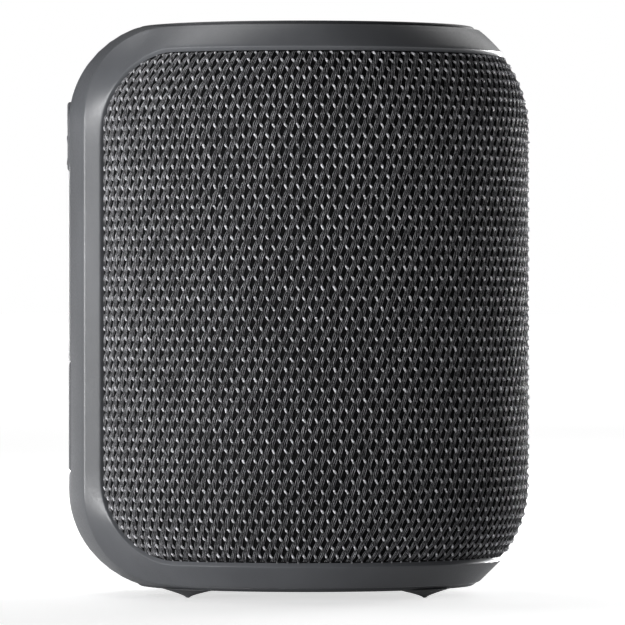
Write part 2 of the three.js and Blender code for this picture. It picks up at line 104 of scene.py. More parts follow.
def finish_mesh(name, mesh, material, body, replaces=(), sharp=35.0):
    """Links a mesh as a piece that rides on a body and stands for CAD nodes."""
    mesh.validate()
    mesh.materials.clear()
    mesh.materials.append(material)
    mesh.shade_smooth()
    mesh.set_sharp_from_angle(angle=math.radians(sharp))
    piece = bpy.data.objects.new(name, mesh)
    scene.collection.objects.link(piece)
    if replaces:
        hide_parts(*replaces)
    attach(piece, body)
    return piece


def mesh_from(name, points, faces, weld=2e-6):
    """A mesh from points in millimetres, welded, with its faces turned outwards."""
    mesh = bpy.data.meshes.new(name)
    mesh.from_pydata((np.asarray(points) * MM).tolist(), [], [list(f) for f in faces])
    soup = bmesh.new()
    soup.from_mesh(mesh)
    bmesh.ops.remove_doubles(soup, verts=soup.verts, dist=weld)
    bmesh.ops.dissolve_degenerate(soup, edges=soup.edges, dist=weld)
    bmesh.ops.recalc_face_normals(soup, faces=soup.faces)
    soup.to_mesh(mesh)
    soup.free()
    return mesh


def changed(mesh, *steps):
    """The mesh after modifiers, each given as (type, {setting: value})."""
    holder = bpy.data.objects.new("holder", mesh)
    scene.collection.objects.link(holder)
    for kind, settings in steps:
        modifier = holder.modifiers.new(kind.lower(), kind)
        for key, value in settings.items():
            setattr(modifier, key, value)
    bpy.context.view_layer.update()
    result = bpy.data.meshes.new_from_object(holder.evaluated_get(bpy.context.evaluated_depsgraph_get()))
    bpy.data.objects.remove(holder)
    result.name = mesh.name
    return result


def cut(mesh, *cutters):
    """The mesh less each cutter, which are meshes too."""
    tools = []
    for cutter in cutters:
        tool = bpy.data.objects.new("cutter", cutter)
        scene.collection.objects.link(tool)
        tools.append(tool)
    steps = [("BOOLEAN", {"object": tool, "solver": "EXACT", "operation": "DIFFERENCE"}) for tool in tools]
    result = changed(mesh, *steps)
    for tool in tools:
        bpy.data.objects.remove(tool)
    return result


# ---- outline helpers ----

def outline_point(shape, s, depth=0.0):
    """(radius, height) at a length s along an upright outline from its middle, a depth below it."""
    radius, corner, half, middle = shape
    angle = np.maximum(np.abs(s) - half, 0) / corner
    r = radius - corner + (corner - depth) * np.cos(angle)
    rise = np.minimum(np.abs(s), half) + (corner - depth) * np.sin(angle)
    return r, middle + np.sign(s) * rise


def smooth_step(low, high, value):
    t = np.clip((value - low) / (high - low), 0, 1)
    return t * t * (3 - 2 * t)


def about_axis(r, angle, z):
    """Points round the body's axis; angle 0 is the rear and grows towards -Y."""
    r, angle, z = np.broadcast_arrays(r, angle, z)
    return np.stack([AXIS_X - r * np.cos(angle), -r * np.sin(angle), z], axis=-1)


def rounded(corners, steps=4):
    """A closed outline with round corners, from (a, b, corner radius) entries."""
    path = []
    count = len(corners)
    for i, (a, b, radius) in enumerate(corners):
        here = np.array([a, b], float)
        before = np.array(corners[i - 1][:2], float) - here
        after = np.array(corners[(i + 1) % count][:2], float) - here
        if radius == 0 or not before.any() or not after.any():
            path.append(here)
            continue
        before /= np.linalg.norm(before)
        after /= np.linalg.norm(after)
        half = math.acos(np.clip(before @ after, -1, 1)) / 2
        reach = radius / math.tan(half)
        middle = before + after
        centre = here + middle / np.linalg.norm(middle) * radius / math.sin(half)
        start, end = here + before * reach - centre, here + after * reach - centre
        sweep = math.pi - 2 * half
        for k in range(steps + 1):
            t = k / steps
            weight = math.sin((1 - t) * sweep), math.sin(t * sweep)
            path.append(centre + (start * weight[0] + end * weight[1]) / math.sin(sweep))
    return np.array(path)


def lathe(name, profile, segments=160, axis=None):
    """A closed profile of (radius, height) turned about an upright axis at (x, y)."""
    x, y = axis or (AXIS_X, 0.0)
    angles = np.linspace(0, 2 * math.pi, segments, endpoint=False)
    r, z = np.asarray(profile, float).T
    points = np.stack([
        x + np.outer(np.cos(angles), r),
        y + np.outer(np.sin(angles), r),
        np.tile(z, (segments, 1)),
    ], axis=-1).reshape(-1, 3)
    count = len(r)
    faces = [
        (i * count + j, (i + 1) % segments * count + j,
         (i + 1) % segments * count + (j + 1) % count, i * count + (j + 1) % count)
        for i in range(segments) for j in range(count)
    ]
    return mesh_from(name, points, faces)


def plate(name, outline, rows, place, fill=7):
    """A closed plate with rows of (inset, height) from its front's inner edge round to its back.

    place maps (u, v, h) to a point; fill is the number of rings inside the front's first row.
    """
    outline = np.asarray(outline, float)
    ahead, behind = np.roll(outline, -1, axis=0), np.roll(outline, 1, axis=0)
    along = ahead - behind
    along /= np.linalg.norm(along, axis=1)[:, None]
    inward = np.stack([-along[:, 1], along[:, 0]], axis=1)
    centre = outline.mean(axis=0)
    if np.mean(np.sum((centre - outline) * inward, axis=1)) < 0:
        inward = -inward
    rings = []
    first = outline + inward * rows[0][0]
    last = outline + inward * rows[-1][0]
    rings += [(centre + (first - centre) * k / fill, rows[0][1]) for k in range(1, fill)]
    rings += [(outline + inward * inset, height) for inset, height in rows]
    rings += [(centre + (last - centre) * k / 3, rows[-1][1]) for k in (2, 1)]
    count = len(outline)
    flat = [np.column_stack([ring, np.full(count, height)]) for ring, height in rings]
    flat = np.vstack([*flat, [[*centre, rows[0][1]], [*centre, rows[-1][1]]]])
    total = len(rings)
    faces = [
        (j * count + i, j * count + (i + 1) % count, (j + 1) * count + (i + 1) % count, (j + 1) * count + i)
        for j in range(total - 1) for i in range(count)
    ]
    faces += [(total * count, i, (i + 1) % count) for i in range(count)]
    end = (total - 1) * count
    faces += [(total * count + 1, end + (i + 1) % count, end + i) for i in range(count)]
    return mesh_from(name, place(flat[:, 0], flat[:, 1], flat[:, 2]), faces)


def on_spine(u, v, h):
    """u across the spine towards +Y, v up, h out from the axis."""
    return about_axis(h, -u / SPINE_R, v)


def on_level(u, v, h):
    return np.column_stack([u + AXIS_X, v, h])


def circle(radius, centre=(0.0, 0.0), count=48):
    angles = np.linspace(0, 2 * math.pi, count, endpoint=False)
    return np.column_stack([centre[0] + radius * np.cos(angles), centre[1] + radius * np.sin(angles)])


def rounded_rectangle(u0, u1, v0, v1, radius, steps=8):
    corners = [(u0, v0, radius), (u1, v0, radius), (u1, v1, radius), (u0, v1, radius)]
    return refined(rounded(corners, steps), 0.9)


def refined(outline, longest):
    """The outline with extra points so that no side is longer than a length."""
    path = []
    for here, after in zip(outline, np.roll(outline, -1, axis=0)):
        pieces = max(1, math.ceil(np.linalg.norm(after - here) / longest))
        path += [here + (after - here) * k / pieces for k in range(pieces)]
    return np.array(path)


# ---- materials ----

def new_material(name):
    material = bpy.data.materials.new(name)
    material.use_nodes = True
    nodes, links = material.node_tree.nodes, material.node_tree.links
    return material, nodes, links, nodes["Principled BSDF"]


def noise(nodes, links, coordinates, scale, detail=3.0, roughness=0.5):
    node = nodes.new("ShaderNodeTexNoise")
    node.inputs["Scale"].default_value = scale
    node.inputs["Detail"].default_value = detail
    node.inputs["Roughness"].default_value = roughness
    links.new(coordinates, node.inputs["Vector"])
    return node.outputs["Fac"]


def ramp(nodes, links, value, low, high, stops=(0.3, 0.7)):
    node = nodes.new("ShaderNodeValToRGB")
    node.color_ramp.elements[0].position, node.color_ramp.elements[1].position = stops
    node.color_ramp.elements[0].color = (*low, 1)
    node.color_ramp.elements[1].color = (*high, 1)
    links.new(value, node.inputs["Fac"])
    return node.outputs["Color"]


def spread(nodes, links, value, low, high):
    node = nodes.new("ShaderNodeMapRange")
    node.inputs["From Min"].default_value, node.inputs["From Max"].default_value = 0.3, 0.7
    node.inputs["To Min"].default_value, node.inputs["To Max"].default_value = low, high
    links.new(value, node.inputs["Value"])
    return node.outputs["Result"]


def bump(nodes, links, shader, *heights):
    """Chains (height, distance in metres) bumps into the shader's normal."""
    normal = None
    for height, distance in heights:
        node = nodes.new("ShaderNodeBump")
        node.inputs["Strength"].default_value = 1.0
        node.inputs["Distance"].default_value = distance
        links.new(height, node.inputs["Height"])
        if normal is not None:
            links.new(normal, node.inputs["Normal"])
        normal = node.outputs["Normal"]
    links.new(normal, shader.inputs["Normal"])


def moulded(name, colour, roughness, grain=2600.0, depth=0.000012, metallic=0.0, specular=0.5, coat=0.0):
    """Moulded plastic, rubber or metal: fine grain, faint mottling and uneven gloss."""
    material, nodes, links, shader = new_material(name)
    place = nodes.new("ShaderNodeTexCoord").outputs["Object"]
    mottle = noise(nodes, links, place, 70.0, 4.0)
    fine = noise(nodes, links, place, grain, 2.0)
    low, high = (tuple(c * k for c in colour) for k in (0.9, 1.1))
    links.new(ramp(nodes, links, mottle, low, high), shader.inputs["Base Color"])
    links.new(spread(nodes, links, fine, roughness - 0.05, roughness + 0.05), shader.inputs["Roughness"])
    shader.inputs["Metallic"].default_value = metallic
    shader.inputs["Specular IOR Level"].default_value = specular
    shader.inputs["Coat Weight"].default_value = coat
    bump(nodes, links, shader, (fine, depth), (mottle, depth * 2))
    return material


def yarn_material(name, dark, light):
    """Polyester yarn: paler on the raised loops as a painted highlight and darker on its low parts as painted
    shade, with a random melange, fine filaments and a little sheen.
    """
    material, nodes, links, shader = new_material(name)
    place = nodes.new("ShaderNodeTexCoord").outputs["Object"]
    # the pale attribute holds painted highlight on the raised nubs and painted shade on the low parts of the
    # yarn
    raised = nodes.new("ShaderNodeAttribute")
    raised.attribute_name = "pale"
    melange = noise(nodes, links, place, 3500.0, 2.0, 0.7)
    filaments = nodes.new("ShaderNodeTexWave")
    filaments.wave_type, filaments.bands_direction = "BANDS", "DIAGONAL"
    filaments.inputs["Scale"].default_value = 2600.0
    filaments.inputs["Distortion"].default_value = 3.0
    links.new(place, filaments.inputs["Vector"])
    # painted light and shade, times the random melange tone
    painted_light_times_melange = nodes.new("ShaderNodeMath")
    painted_light_times_melange.operation = "MULTIPLY"
    links.new(raised.outputs["Fac"], painted_light_times_melange.inputs[0])
    links.new(spread(nodes, links, melange, 0.15, 1.5), painted_light_times_melange.inputs[1])
    links.new(ramp(nodes, links, painted_light_times_melange.outputs["Value"], dark, light, (0, 1)), shader.inputs["Base Color"])
    links.new(spread(nodes, links, melange, 0.4, 0.6), shader.inputs["Roughness"])
    shader.inputs["Specular IOR Level"].default_value = 0.2
    shader.inputs["Sheen Weight"].default_value = 0.06
    shader.inputs["Sheen Roughness"].default_value = 0.4
    bump(nodes, links, shader, (filaments.outputs["Fac"], 0.00003))
    return material


def backing_material(name, dark, light):
    """The knit's inner layer: close-packed fibre ends with dark gaps, kept near-black as painted shade for the
    holes between the yarns.
    """
    material, nodes, links, shader = new_material(name)
    place = nodes.new("ShaderNodeTexCoord").outputs["Object"]
    fibres = noise(nodes, links, place, 3200.0, 3.0, 0.7)
    links.new(ramp(nodes, links, fibres, dark, light, (0.42, 0.66)), shader.inputs["Base Color"])
    shader.inputs["Roughness"].default_value = 0.85
    shader.inputs["Specular IOR Level"].default_value = 0.1
    bump(nodes, links, shader, (fibres, 0.0001))
    return material


FRAME_GREY = moulded("frame_grey_plastic", (0.105, 0.109, 0.118), 0.38)
PANEL_GREY = moulded("panel_soft_touch", (0.04, 0.041, 0.045), 0.48)
BASE_GREY = moulded("base_plastic", (0.05, 0.052, 0.057), 0.45)
BLACK_PLASTIC = moulded("black_plastic", (0.012, 0.012, 0.014), 0.5)
FOOT_RUBBER = moulded("foot_rubber", (0.05, 0.051, 0.055), 0.6, 1800.0, 0.00002)
COVER_RUBBER = moulded("cover_rubber", (0.085, 0.088, 0.096), 0.5, 2000.0, 0.00001)
STEEL = moulded("plated_steel", (0.5, 0.5, 0.52), 0.3, 900.0, 0.000008, metallic=1.0)
CIRCUIT_BOARD = moulded("solder_mask", (0.015, 0.09, 0.04), 0.35, 500.0, 0.00001, coat=0.3)
CELL_WRAP = moulded("cell_wrap", (0.03, 0.12, 0.3), 0.3, 600.0, 0.00001, coat=0.4)
CLEAR = moulded("light_pipe", (0.75, 0.78, 0.8), 0.2, 900.0, 0.000004)
PAPER = moulded("paper_cone", (0.02, 0.02, 0.022), 0.8, 1500.0, 0.00004)
# the backing is a real inner layer whose near-black colour is painted shade for the holes between the yarns
CLOTH_BASE = backing_material("knit_backing", (0.0005, 0.0005, 0.0005), (0.012, 0.012, 0.013))
# the yarn's ramp runs from near-black, painted shade on its low parts, to pale grey, painted highlight on the
# raised nubs
YARN = yarn_material("knit_yarn", (0.002, 0.002, 0.0022), (0.8, 0.8, 0.84))
GLYPH = moulded("glyph_ink", (0.55, 0.56, 0.58), 0.5)

SLOT_MATERIALS = {
    "frame_grey": FRAME_GREY, "panel_grey": PANEL_GREY, "base_grey": BASE_GREY, "knit": CLOTH_BASE,
    "black_plastic": BLACK_PLASTIC, "rubber": FOOT_RUBBER, "cover_rubber": COVER_RUBBER, "steel": STEEL,
    "circuit_board": CIRCUIT_BOARD, "cell_wrap": CELL_WRAP, "clear": CLEAR, "paper_cone": PAPER,
}


def dress_cad_nodes():
    """Every CAD node that stays in view or inside gets its slot's procedural material."""
    for part in frame["record"]["subparts"]:
        mesh = frame["nodes"][part["node"]].data
        mesh.materials.clear()
        mesh.materials.append(SLOT_MATERIALS[part["material_slot"]])


# ---- the frame moulding ----

def ray_to_crease(centre, angle):
    """Where a ray from the centre, at an angle up from the rear, meets the crease."""
    direction = np.array([-math.cos(angle), math.sin(angle)])
    corner = np.array([CREASE_U + CREASE_CORNER, CREASE_S - CREASE_CORNER])
    side = centre[1] + (centre[0] - CREASE_U) * math.tan(angle) if angle < 1.57 else np.inf
    if side <= corner[1]:
        return np.array([CREASE_U, side])
    top = centre[0] - (CREASE_S - centre[1]) / math.tan(angle)
    if top >= corner[0]:
        return np.array([top, CREASE_S])
    offset = centre - corner
    along = offset @ direction
    reach = -along + math.sqrt(along * along - offset @ offset + CREASE_CORNER ** 2)
    return centre + direction * reach


def out_to_rim(point):
    """Where the surface outside a crease point ends: the middle of the spine or the rim."""
    corner = np.array([CREASE_U + CREASE_CORNER, CREASE_S - CREASE_CORNER])
    if point[1] <= corner[1]:
        return np.array([0.0, point[1]])
    if point[0] >= corner[0]:
        return np.array([point[0], RIM_S])
    direction = (point - corner) / np.linalg.norm(point - corner)
    reach = min((RIM_S - corner[1]) / direction[1], corner[0] / -direction[0])
    return corner + direction * reach


def window_columns(edge_s):
    """(window edge, crease, outer end, lip drop) in (u, s), from the middle of the spine to the front."""
    half_u, half_s = WINDOW_CORNER
    centre = np.array([WINDOW_U + half_u, edge_s - half_s])
    columns = []
    for s in np.linspace(0, centre[1], 14, endpoint=False):
        columns.append(((WINDOW_U, s), (CREASE_U, s), (0.0, s), (0.0, 0.0)))
    for angle in np.linspace(0, math.pi / 2, 44):
        edge = centre + np.array([-half_u * math.cos(angle), half_s * math.sin(angle)])
        ray = math.atan2(edge[1] - centre[1], centre[0] - edge[0])
        crease = ray_to_crease(centre, min(ray, math.pi / 2 - 1e-6))
        columns.append((edge, crease, out_to_rim(crease), (LIP_DROP * math.sin(angle), 0.0)))
    for u in np.linspace(centre[0], FRONT_U, 76)[1:]:
        columns.append(((u, edge_s), (u, CREASE_S), (u, RIM_S), (LIP_DROP, 0.0)))
    return np.array(columns)


def outer_face(u, s, end, sign):
    """The spine's rib, which turns into the flat rim towards the front."""
    rib_r, rib_z = outline_point(RIB, sign * s)
    t = np.clip((s - CREASE_S) / (RIM_S - CREASE_S), 0, 1)
    rim_r = end["crease"][0] + (end["rim"][0] - end["crease"][0]) * t
    rim_z = end["crease"][1] + (end["rim"][1] - end["crease"][1]) * smooth_step(0, 0.6, t)
    mix = smooth_step(24, 44, np.degrees(u / BODY_R))
    return about_axis(rib_r + (rim_r - rib_r) * mix, u / BODY_R, rib_z + (rim_z - rib_z) * mix)


def frame_half(end, sign):
    """Rows of points across the frame for every column of its upper or lower half."""
    edge, crease, outer, drop = window_columns(end["edge"]).transpose(1, 0, 2)
    upright = drop[:, :1]

    def at_edge(depth):
        r, z = outline_point(BODY, sign * edge[:, 1], depth)
        return about_axis(r, edge[:, 0] / BODY_R, z)

    crease_points = outer_face(crease[:, 0], crease[:, 1], end, sign)
    low = at_edge(0.05)
    inward = (at_edge(1.05) - low) * (1 - upright) + np.array([0, 0, -sign]) * upright
    inward /= np.linalg.norm(inward, axis=1)[:, None]
    across = crease_points - low
    width = np.linalg.norm(across, axis=1)[:, None]
    unit = across / width
    radial = low - np.array([AXIS_X, 0, RIB[3]])
    radial[:, 2] = 0
    radial /= np.linalg.norm(radial, axis=1)[:, None]
    on_ring = smooth_step(25, 45, np.degrees(edge[:, 0] / BODY_R))[:, None]
    bulge = radial * RING_CROWN * on_ring * (sign > 0)

    rows = [low + inward * depth for depth in (LIP_DEPTH, 1.2, 0.45, 0.16)]
    rows += [low + inward * 0.04 + unit * 0.05, low + unit * 0.17]
    for t in np.linspace(0.12, 0.88, 9):
        rows.append(low + across * t + bulge * 4 * t * (1 - t))
    first = low + unit * (width - CREASE_ROUND)
    reach = np.linalg.norm(outer - crease, axis=1)[:, None]
    away = (outer - crease) / reach
    second_uv = crease + away * np.minimum(0.4, reach * 0.3)
    second = outer_face(second_uv[:, 0], second_uv[:, 1], end, sign)
    for t in (0.0, 0.25, 0.5, 0.75, 1.0):
        rows.append(first * (1 - t) ** 2 + crease_points * 2 * t * (1 - t) + second * t ** 2)
    for t in np.linspace(0, 1, 17)[1:]:
        uv = second_uv + (outer - second_uv) * t
        rows.append(outer_face(uv[:, 0], uv[:, 1], end, sign))
    at_rim = outer[:, 1] > RIM_S - 1e-6
    wall = rows[-1] - np.array([0, 0, LIP_DEPTH * sign])
    return np.stack(rows + [wall], axis=1), at_rim


def frame_surface():
    points, faces = [], []
    for end, sign in ((TOP_END, 1), (BOTTOM_END, -1)):
        grid, at_rim = frame_half(end, sign)
        for side in (1, -1):
            start = len(points)
            count = grid.shape[1]
            points += (grid * np.array([1, side, 1])).reshape(-1, 3).tolist()
            for i in range(grid.shape[0] - 1):
                last = count - 1 if at_rim[i] and at_rim[i + 1] else count - 2
                for j in range(last):
                    a = start + i * count + j
                    faces.append((a, a + 1, a + count + 1, a + count))
    return mesh_from("frame_moulding", points, faces)


def make_frame():
    wall = {"thickness": FRAME_WALL * MM, "offset": -1.0, "use_even_offset": True}
    shell = changed(frame_surface(), ("SOLIDIFY", wall))
    gap = 0.18
    cover = rounded_rectangle(COVER_LOW[1] - gap, COVER_HIGH[1] + gap,
                              COVER_LOW[2] - gap, COVER_HIGH[2] + gap, 1.8)
    pad_half = PAD_HIGH[1] + gap
    pad = rounded_rectangle(-pad_half, pad_half, PAD_LOW[2] - gap, PAD_HIGH[2] + gap, pad_half - 0.02)
    through = [(0, SPINE_R + 3), (0, SPINE_R - 4)]
    shell = cut(shell, plate("cutter", cover, through, on_spine), plate("cutter", pad, through, on_spine))
    finish_mesh("frame_moulding", shell, FRAME_GREY, "housing", ["outer_frame"], sharp=28)

    # the bay behind the cover, with an opening for each socket, and the bed under the button pad
    bay = rounded_rectangle(COVER_LOW[1] - 1.5, COVER_HIGH[1] + 1.5,
                            COVER_LOW[2] - 1.5, COVER_HIGH[2] + 1.5, 2.5)
    bed = rounded_rectangle(-pad_half - 1.2, pad_half + 1.2, PAD_LOW[2] - 1.4, PAD_HIGH[2] + 1.4, pad_half)
    usb_low, usb_high = box_mm("usb_c_socket")
    aux_low, aux_high = box_mm("aux_socket")
    usb_half, play = 1.65, 0.3
    usb = rounded_rectangle(-usb_half - play, usb_half + play, usb_low[2] - play, usb_high[2] + play, 1.9)
    aux = circle(3.2, (0, (aux_low[2] + aux_high[2]) / 2))
    through = [(0, SPINE_R + 3), (0, SPINE_R - 12)]
    tray = [(0.4, SPINE_R - 2.5), (0, SPINE_R - 2.6), (0, SPINE_R - 4.2)]
    bay_mesh = cut(plate("port_bay", bay, tray, on_spine),
                   plate("cutter", usb, through, on_spine), plate("cutter", aux, through, on_spine))
    finish_mesh("port_bay", bay_mesh, FRAME_GREY, "housing")
    bed_mesh = plate("pad_bed", bed, [(0.3, SPINE_R - 2.4), (0, SPINE_R - 2.5), (0, SPINE_R - 3.2)], on_spine)
    finish_mesh("pad_bed", bed_mesh, BLACK_PLASTIC, "housing")


# ---- pieces on the spine ----

def make_port_cover():
    scoop_z, scoop_r, scoop_depth = COVER_HIGH[2], 3.4, 0.8

    def place(u, v, h):
        far = np.hypot(u, v - scoop_z) / scoop_r
        dip = scoop_depth * (1 - smooth_step(0.2, 1.0, far)) * (h > SPINE_R - 1)
        return on_spine(u, v, h - dip)

    outline = rounded_rectangle(COVER_LOW[1], COVER_HIGH[1], COVER_LOW[2], COVER_HIGH[2], 1.5)
    rows = [(1.2, SPINE_R), (0.7, SPINE_R), (0.35, SPINE_R - 0.04), (0.12, SPINE_R - 0.16),
            (0, SPINE_R - 0.4), (0, SPINE_R - 1.9), (0.2, SPINE_R - 2.05)]
    mesh = plate("port_flap", outline, rows, place, fill=16)
    finish_mesh("port_flap", mesh, COVER_RUBBER, "port_cover", ["port_cover"])


def make_spine_buttons():
    """A thin raised pad with the pairing button, which is hollow across its middle, and the power button."""
    half = PAD_HIGH[1]
    top = AXIS_X - PAD_LOW[0]
    outline = rounded_rectangle(-half, half, PAD_LOW[2], PAD_HIGH[2], half - 0.3)
    rows = [(0.9, top - 0.02), (0.5, top), (0.2, top - 0.1), (0, top - 0.35), (0, top - 1.8)]
    cutters = []
    for name, lift, hollow in (("power_button", -0.02, 0.0), ("pair_button", -0.04, 0.17)):
        low, high = box_mm(name)
        radius = (high[1] - low[1]) / 2 - 0.3
        middle = (low[2] + high[2]) / 2
        face = AXIS_X - low[0] + lift

        def place(u, v, h):
            dip = hollow * (1 - smooth_step(0.35, 0.95, np.abs(v - middle) / radius)) * (h > face - 1)
            return on_spine(u, v, h - dip)

        hole = circle(radius + 0.12, (0, middle))
        cutters.append(plate("cutter", hole, [(0, top + 2), (0, top - 5)], on_spine))
        cap_rows = [(0.85, face), (0.5, face), (0.25, face - 0.03), (0.08, face - 0.12),
                    (0, face - 0.3), (0, face - 1.7)]
        cap = plate(f"{name}_cap", circle(radius, (0, middle)), cap_rows, place, fill=8)
        finish_mesh(f"{name}_cap", cap, COVER_RUBBER, name, [name])
    pad = cut(plate("spine_pad", outline, rows, on_spine), *cutters)
    finish_mesh("spine_pad", pad, COVER_RUBBER, "housing", ["button_pad"])


def make_sockets():
    usb_low, usb_high = box_mm("usb_c_socket")
    middle = (usb_low[2] + usb_high[2]) / 2
    half_z = (usb_high[2] - usb_low[2]) / 2 - 0.05
    face, back = AXIS_X - usb_low[0], AXIS_X - usb_high[0]

    def straight(u, v, h):
        return np.column_stack([AXIS_X - h, u, v])

    def capsule(half_u, half_v):
        return rounded_rectangle(-half_u, half_u, middle - half_v, middle + half_v, half_u - 0.02)

    body = plate("usb_c_shell", capsule(1.6, half_z), [(0.05, face), (0, face - 0.06), (0, back)], straight)
    body = cut(body, plate("cutter", capsule(1.3, half_z - 0.3), [(0, face + 1), (0, face - 5.5)], straight))
    finish_mesh("usb_c_shell", body, STEEL, "housing", ["usb_c_socket"])
    tongue = rounded_rectangle(-0.35, 0.35, middle - 3.2, middle + 3.2, 0.15)
    rows = [(0.05, face - 0.9), (0, face - 1.0), (0, face - 5.4)]
    tongue_mesh = plate("usb_c_tongue", tongue, rows, straight)
    finish_mesh("usb_c_tongue", tongue_mesh, BLACK_PLASTIC, "housing")

    low, high = box_mm("aux_socket")
    centre = (0, (low[2] + high[2]) / 2)
    face, back = AXIS_X - low[0], AXIS_X - high[0]
    rows = [(0.3, face), (0.12, face - 0.03), (0, face - 0.15), (0, back)]
    jack = cut(plate("aux_barrel", circle(2.9, centre), rows, straight),
               plate("cutter", circle(1.8, centre), [(0, face + 1), (0, back + 1)], straight))
    finish_mesh("aux_barrel", jack, BLACK_PLASTIC, "housing", ["aux_socket"])


# ---- the top ----

TOP_KEYS = ("volume_down_key", "play_key", "volume_up_key")


def make_control_panel():
    bottom = PANEL_TOP - 2.7
    edge = rounded([
        (0, bottom, 0), (PANEL_R, bottom, 0.2), (PANEL_R, PANEL_TOP, 0.65), (0, PANEL_TOP, 0),
    ], 6)
    panel = lathe("top_panel", edge, 192)
    cutters = []
    for key in TOP_KEYS:
        low, high = box_mm(key)
        radius = (high[1] - low[1]) / 2 - 0.8
        middle = (low[1] + high[1]) / 2
        through = [(0, PANEL_TOP + 3), (0, PANEL_TOP - 6)]
        cutters.append(plate("cutter", circle(radius + 0.16, (0, middle), 72), through, on_level))
        top = PANEL_TOP - 0.05
        rows = [(1.4, top - 0.12), (0.9, top - 0.04), (0.5, top), (0.2, top - 0.06), (0.05, top - 0.2),
                (0, top - 0.4), (0, bottom - 1.2)]
        cap = plate(f"{key}_cap", circle(radius, (0, middle), 72), rows, on_level, fill=6)
        finish_mesh(f"{key}_cap", cap, PANEL_GREY, key, [key])
    lens_low, lens_high = box_mm("status_lens")
    lens_x = (lens_low[0] + lens_high[0]) / 2 - AXIS_X
    through = [(0, PANEL_TOP + 3), (0, PANEL_TOP - 6)]
    cutters.append(plate("cutter", circle(1.0, (lens_x, 0)), through, on_level))
    cutters.append(plate("cutter", circle(0.6, (-lens_x, 0), 24), through, on_level))
    panel = cut(panel, *cutters)
    finish_mesh("top_panel", panel, PANEL_GREY, "housing", ["control_panel"])
    rows = [(0.3, PANEL_TOP - 0.05), (0.08, PANEL_TOP - 0.1), (0, PANEL_TOP - 0.25), (0, PANEL_TOP - 3)]
    lens = plate("status_light", circle(0.88, (lens_x, 0)), rows, on_level, fill=3)
    finish_mesh("status_light", lens, CLEAR, "housing", ["status_lens"])


def bar_outline(centre, length, width, upright=False):
    half_u, half_v = (width / 2, length / 2) if upright else (length / 2, width / 2)
    return rounded_rectangle(centre[0] - half_u, centre[0] + half_u,
                             centre[1] - half_v, centre[1] + half_v, width / 2 - 0.02)


def make_glyphs():
    """Raised plus, minus and play marks on the top keys."""
    top = PANEL_TOP - 0.12
    rows = [(0.06, top + 0.08), (0, top + 0.03), (0, top - 0.1)]
    minus, play, plus = (sum(box_mm(key)[i][1] for i in (0, 1)) / 2 for key in TOP_KEYS)
    triangle = [(1.6, play - 1.8, 0.2), (-1.6, play - 1.8, 0.2), (0, play + 0.9, 0.2)]
    marks = {
        "minus_mark": (bar_outline((0, minus), 3.4, 0.6, True), "volume_down_key"),
        "plus_mark_bar": (bar_outline((0, plus), 3.4, 0.6, True), "volume_up_key"),
        "plus_mark_post": (bar_outline((0, plus), 3.4, 0.6), "volume_up_key"),
        "pause_mark": (bar_outline((0, play + 2.0), 3.0, 0.6), "play_key"),
        "play_mark": (refined(rounded(triangle), 0.5), "play_key"),
    }
    for name, (outline, body) in marks.items():
        finish_mesh(name, plate(name, outline, rows, on_level, fill=2), GLYPH, body)


# ---- the base ----

def make_base():
    hole_r = 23.5
    profile = rounded([
        (hole_r, BASE_BOTTOM + 0.9, 0.3),
        (hole_r + 0.9, BASE_BOTTOM, 0.3),
        (BASE_R - 0.7, BASE_BOTTOM, 0.3),
        (BASE_R, BASE_BOTTOM + 0.5, 0.3),
        (BASE_R, BASE_HIGH[2], 0.2),
        (hole_r, BASE_HIGH[2], 0),
    ])
    plate_mesh = lathe("base_cover", profile, 192)
    cutters = []
    for i in range(4):
        low, high = box_mm(f"base_screw_{i + 1}")
        centre = ((low[0] + high[0]) / 2 - AXIS_X, (low[1] + high[1]) / 2)
        cutters.append(plate("cutter", circle(2.7, centre, 32), [(0, -2), (0, 3)], on_level))
    finish_mesh("base_cover", cut(plate_mesh, *cutters), BASE_GREY, "housing", ["base_plate"])


FOOT_ROOT = 6.8             # half length of a foot where it leaves the base
FOOT_ROUNDNESS = 0.36       # its width over its length


def make_feet():
    """Each foot is a long bump across the radius, with hollow flanks up to a round tip."""
    for i in range(4):
        name = f"foot_{i + 1}"
        low, high = box_mm(name)
        centre = (low + high) / 2
        away = math.atan2(centre[1], centre[0] - AXIS_X)
        tip_r, tip_z = 0.6, 0.15
        fall = np.linspace(0, 1, 16)
        flank = FOOT_ROOT * (1 - fall) ** 1.3 + tip_r * fall
        profile = [(0, BASE_BOTTOM + 0.1), (FOOT_ROOT, BASE_BOTTOM + 0.1)]
        profile += [(r, BASE_BOTTOM - (BASE_BOTTOM - tip_z) * t) for r, t in zip(flank, fall)]
        profile += [(tip_r * math.cos(a), tip_z - tip_z * math.sin(a))
                    for a in np.linspace(0, math.pi / 2, 6)[1:]]
        mesh = lathe(f"{name}_rubber", profile, 64, (0.0, 0.0))
        points = np.array([v.co for v in mesh.vertices])
        across, along = points[:, 0] * FOOT_ROUNDNESS, points[:, 1]
        turned_x = across * math.cos(away) - along * math.sin(away)
        turned_y = across * math.sin(away) + along * math.cos(away)
        for vertex, x, y in zip(mesh.vertices, turned_x, turned_y):
            vertex.co.x = x + centre[0] * MM
            vertex.co.y = y + centre[1] * MM
        finish_mesh(f"{name}_rubber", mesh, FOOT_RUBBER, "housing", [name])


# ---- the knitted sleeve ----

WALE = 1.165            # distance between neighbouring zigzag yarns, round the body
REPEAT = 3.82           # two courses of the knit, along the outline
MARGIN = 1.3            # bare backing between the window's sides and the middle of the first yarn
BACKING = 0.75          # how far the backing lies under the body's outline
PLIES = (-1.0, 0.0, 1.0)            # places of a yarn's plies across it, in steps of their spread
NUB_PLY = 1                         # the ply that swells into the raised nub
